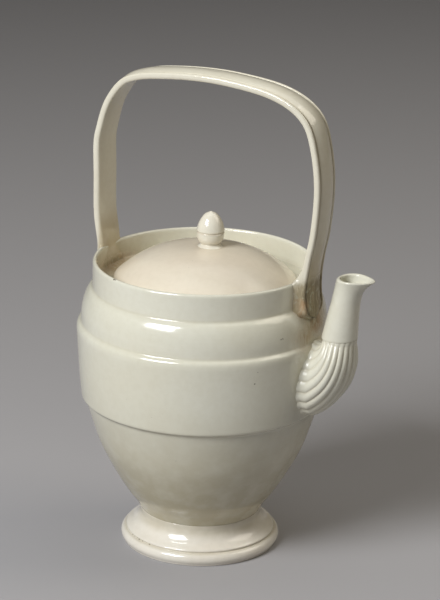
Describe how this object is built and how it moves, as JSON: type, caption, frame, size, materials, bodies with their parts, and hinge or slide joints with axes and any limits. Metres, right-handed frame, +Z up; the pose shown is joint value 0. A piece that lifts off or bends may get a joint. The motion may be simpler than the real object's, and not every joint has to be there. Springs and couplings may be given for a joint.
{
  "type": "ceramic kettle",
  "caption": "Cream earthenware kettle: turned pot on a pedestal foot, fixed beaded strap handle over the top, fluted shell spout with a plain neck, and a lift-off domed lid with a bud knob",
  "frame": {"origin": "centre of the object's footprint box, on the table plane under the foot ring", "axes": "+Z up, +X towards the spout, +Y across, so that the handle and the spout lie in the XZ plane"},
  "size_m": [0.1956, 0.1596, 0.3074],
  "materials": {
    "cream_glaze": "glossy lead-type glaze over cream earthenware",
    "lid_glaze": "glossy glaze, slightly warmer and pinker than the pot"
  },
  "bodies": {
    "kettle": {"pot": "cream_glaze", "foot": "cream_glaze", "handle": "cream_glaze", "spout_shell": "cream_glaze", "spout_neck": "cream_glaze"},
    "lid": {"lid": "lid_glaze", "lid_knob": "lid_glaze"}
  },
  "joints": [
    {"name": "lid_lift", "type": "slide", "parent": "kettle", "child": "lid", "axis": [0, 0, 1], "range_m": [0, 0.07]}
  ]
}
